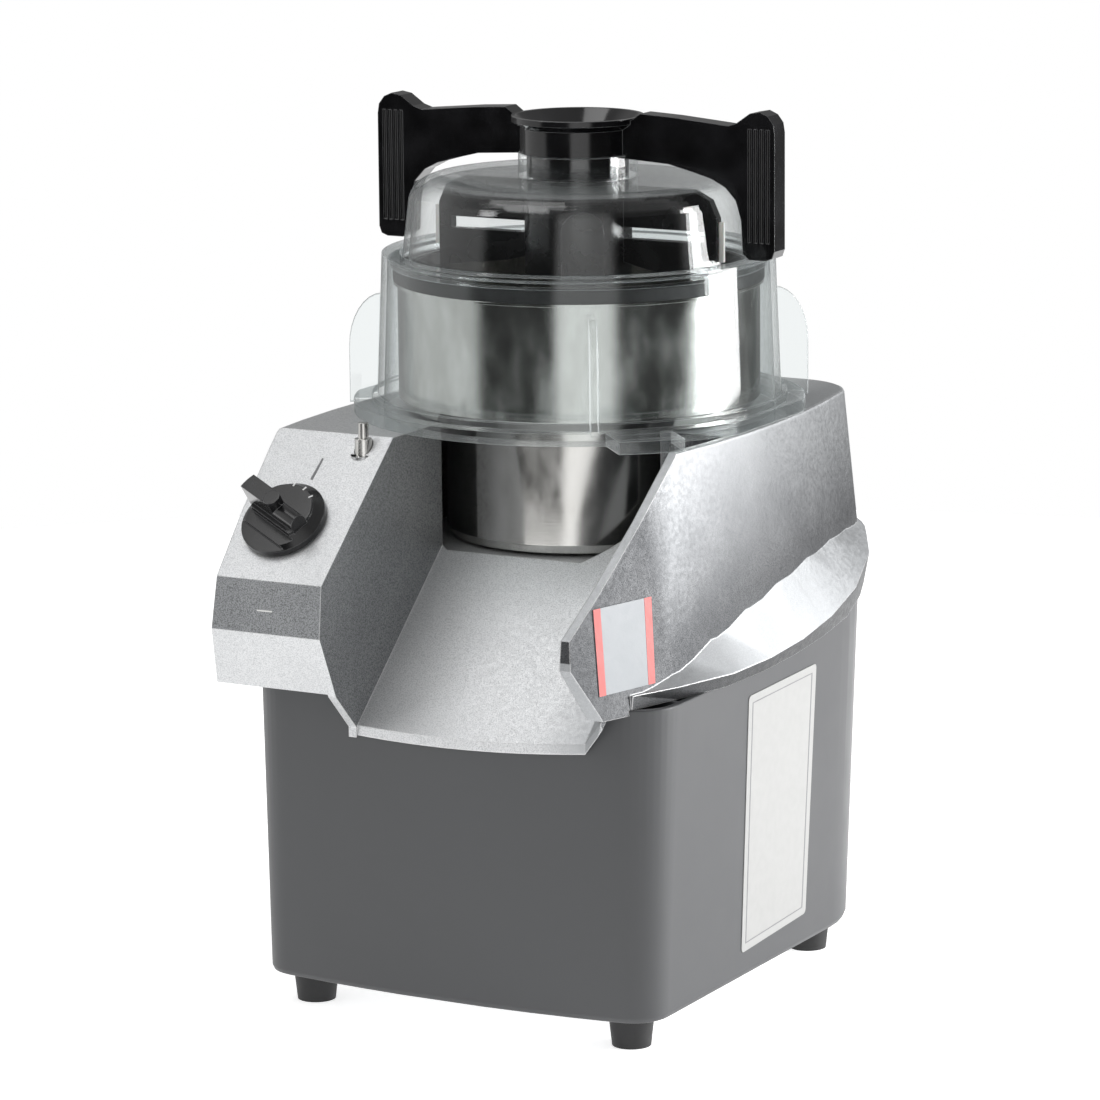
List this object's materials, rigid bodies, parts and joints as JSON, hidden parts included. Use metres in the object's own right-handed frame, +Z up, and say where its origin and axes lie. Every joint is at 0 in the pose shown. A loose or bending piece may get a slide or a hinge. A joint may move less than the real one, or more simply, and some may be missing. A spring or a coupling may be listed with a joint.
{
  "type": "vertical cutter mixer",
  "caption": "Countertop cutter mixer: lift-out steel bowl with knife blades, clear domed lid with a hand-turned scraper, swinging guard ring, and a chute in a cast top over the motor",
  "frame": {"origin": "centre of the whole machine's box at the level of the feet's undersides", "axes": "+Z up along the bowl axis, +X to the machine's right as its user faces it, so the front, with the chute and the control knob, faces -Y"},
  "size_m": [0.2736, 0.3516, 0.4618],
  "materials": {
    "casting": "satin bead-blasted cast aluminium",
    "housing_paint": "satin dark grey paint",
    "steel": "brushed stainless steel",
    "rubber": "matt black rubber",
    "black_plastic": "gloss black plastic",
    "clear_plastic": "clear polycarbonate",
    "white_flex": "soft white plastic",
    "laminations": "stacked steel sheet",
    "copper": "enamelled copper wire",
    "shield_alloy": "die cast",
    "bronze": "plain bronze bush",
    "can_alloy": "drawn can"
  },
  "bodies": {
    "base": {"motor_housing": "housing_paint", "base_plate": "steel", "foot_front_left": "rubber", "foot_front_right": "rubber", "foot_rear_left": "rubber", "foot_rear_right": "rubber", "foot_screws": "steel", "cable_gland": "black_plastic", "gland_nut": "steel", "upper_casting": "casting", "casting_screws": "steel", "bowl_pins": "steel", "shaft_seal": "rubber", "motor_stator": "laminations", "stator_windings": "copper", "upper_end_shield": "shield_alloy", "lower_end_shield": "shield_alloy", "motor_bolts": "steel", "upper_bearing": "steel", "lower_bearing": "steel", "start_capacitor": "can_alloy", "capacitor_clip": "steel", "switch_body": "black_plastic", "switch_nut": "steel", "interlock_switch": "black_plastic", "rod_guide": "steel", "rod_spring": "steel"},
    "rotor": {"drive_shaft": "steel", "motor_rotor": "laminations", "cooling_fan": "black_plastic"},
    "bowl": {"bowl": "steel", "bowl_column": "steel", "column_bush": "bronze"},
    "knife": {"knife_hub": "black_plastic", "lower_blade": "steel", "upper_blade": "steel", "knife_cap": "steel"},
    "lid": {"lid_gasket": "rubber", "lid_dome": "clear_plastic"},
    "scraper": {"scraper_handle": "black_plastic", "scraper_frame": "black_plastic", "scraper_blades": "white_flex"},
    "ring": {"guard_ring": "clear_plastic"},
    "knob": {"switch_knob": "black_plastic", "switch_spindle": "steel"},
    "safety_rod": {"safety_rod": "steel"}
  },
  "joints": [
    {"name": "motor_spin", "type": "hinge", "parent": "base", "child": "rotor", "pos_m": [0, 0.01975, 0.1], "axis": [0, 0, 1], "continuous": true},
    {"name": "bowl_lift", "type": "slide", "parent": "base", "child": "bowl", "axis": [0, 0, 1], "range_m": [0, 0.12]},
    {"name": "knife_spin", "type": "hinge", "parent": "bowl", "child": "knife", "pos_m": [0, 0.01975, 0.28], "axis": [0, 0, 1], "continuous": true},
    {"name": "lid_lift", "type": "slide", "parent": "bowl", "child": "lid", "axis": [0, 0, 1], "range_m": [0, 0.12]},
    {"name": "scraper_turn", "type": "hinge", "parent": "lid", "child": "scraper", "pos_m": [0, 0.01975, 0.43], "axis": [0, 0, 1], "continuous": true},
    {"name": "ring_turn", "type": "hinge", "parent": "lid", "child": "ring", "pos_m": [0, 0.01975, 0.37], "axis": [0, 0, 1], "range_deg": [-20, 0]},
    {"name": "knob_turn", "type": "hinge", "parent": "base", "child": "knob", "pos_m": [-0.08, -0.14548, 0.26164], "axis": [0, -0.6561, 0.7547], "range_deg": [-40, 80]},
    {"name": "rod_press", "type": "slide", "parent": "base", "child": "safety_rod", "axis": [0, 0, -1], "range_m": [0, 0.004], "stiffness_N_per_m": 400, "springref_m": -0.004, "deforming": ["rod_spring"]}
  ],
  "couplings": [
    {"joint": "knife_spin", "follows": "motor_spin", "ratio": 1}
  ]
}
